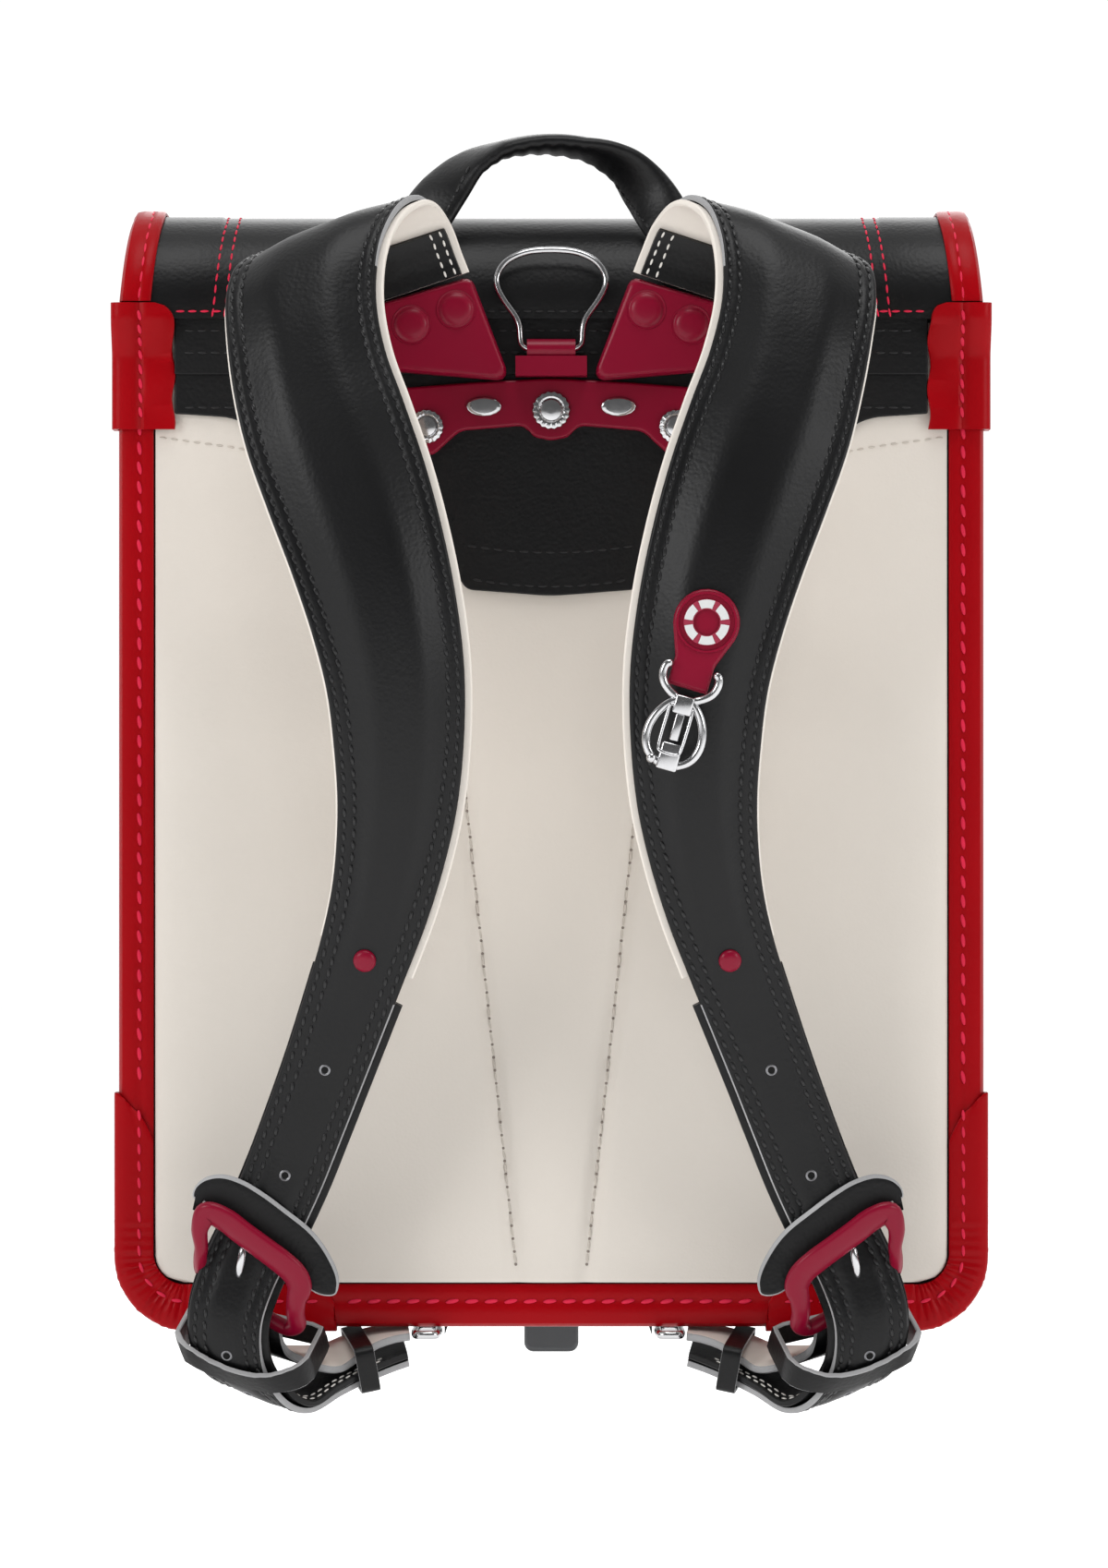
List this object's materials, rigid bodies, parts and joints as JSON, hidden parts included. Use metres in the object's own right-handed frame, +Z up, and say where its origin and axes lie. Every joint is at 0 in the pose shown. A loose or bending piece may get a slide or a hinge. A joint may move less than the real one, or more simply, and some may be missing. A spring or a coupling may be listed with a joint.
{
  "type": "school ransel",
  "caption": "Stiff black leather school backpack seen from its strap side, with red binding, a cream back pad, padded shoulder straps, buckles, a carry handle and a hanging ring",
  "frame": {"origin": "underside of the carry handle's crown, on the bag's middle plane, where a hook or a hand holds the bag up", "axes": "+X to the viewer's right in the picture, +Y from the straps to the lid, +Z up; the straps face -Y"},
  "size_m": [0.2698, 0.2765, 0.3915],
  "materials": {
    "black_leather": "grained, semi-gloss",
    "red_leather": "smooth, glossy",
    "cream_pad": "soft fine grain, matt",
    "cream_lining": "smooth, matt",
    "maroon_plastic": "satin moulded plastic",
    "steel": "polished nickel plate",
    "grey_metal": "satin grey",
    "white_reflector": "prismatic reflector"
  },
  "bodies": {
    "bag": {"back_board": "black_leather", "main_gusset": "black_leather", "main_front": "black_leather", "small_compartment": "black_leather", "front_pocket": "black_leather", "binding": "red_leather", "corner_wrap_left": "red_leather", "corner_wrap_right": "red_leather", "top_tab_left": "red_leather", "top_tab_right": "red_leather", "back_pad": "cream_pad", "yoke": "black_leather", "upper_band": "black_leather", "lid": "black_leather", "lid_piping_left": "red_leather", "lid_piping_right": "red_leather", "lid_tongue": "black_leather", "lock_plate": "grey_metal", "base_plate": "maroon_plastic", "root_bracket_left": "maroon_plastic", "root_bracket_right": "maroon_plastic", "ring_bracket": "maroon_plastic", "centre_rivet": "steel", "side_rivet_left": "steel", "side_rivet_right": "steel", "inlay_left": "steel", "inlay_right": "steel", "handle": "black_leather", "strap_left": "black_leather", "strap_right": "black_leather", "strap_lining_left": "cream_lining", "strap_lining_right": "cream_lining", "belt_backing_left": "black_leather", "belt_backing_right": "black_leather", "root_strap_left": "black_leather", "root_strap_right": "black_leather", "strap_rivet_left": "maroon_plastic", "strap_rivet_right": "maroon_plastic", "buckle_left": "maroon_plastic", "buckle_right": "maroon_plastic", "prong_left": "steel", "prong_right": "steel", "guard_left": "black_leather", "guard_right": "black_leather", "keeper_left": "black_leather", "keeper_right": "black_leather", "end_keeper_left": "black_leather", "end_keeper_right": "black_leather", "lower_belt_left": "black_leather", "lower_belt_right": "black_leather", "anchor_ring_left": "steel", "anchor_ring_right": "steel", "anchor_left": "black_leather", "anchor_right": "black_leather", "key_tab": "maroon_plastic", "key_reflector": "white_reflector", "key_hook": "steel"},
    "hanging_ring_body": {"hanging_ring": "steel"},
    "key_gate_body": {"key_gate": "steel"}
  },
  "joints": [
    {"name": "hanging_ring_swing", "type": "hinge", "parent": "bag", "child": "hanging_ring_body", "pos_m": [0, -0.0124, -0.0616], "axis": [1, 0, 0], "range_deg": [0, 112]},
    {"name": "key_gate_press", "type": "hinge", "parent": "bag", "child": "key_gate_body", "pos_m": [0.03859, -0.08182, -0.1716], "axis": [0.96, 0, -0.28], "range_deg": [0, 10], "stiffness_Nm_per_rad": 0.004, "springref_deg": -17.19}
  ]
}
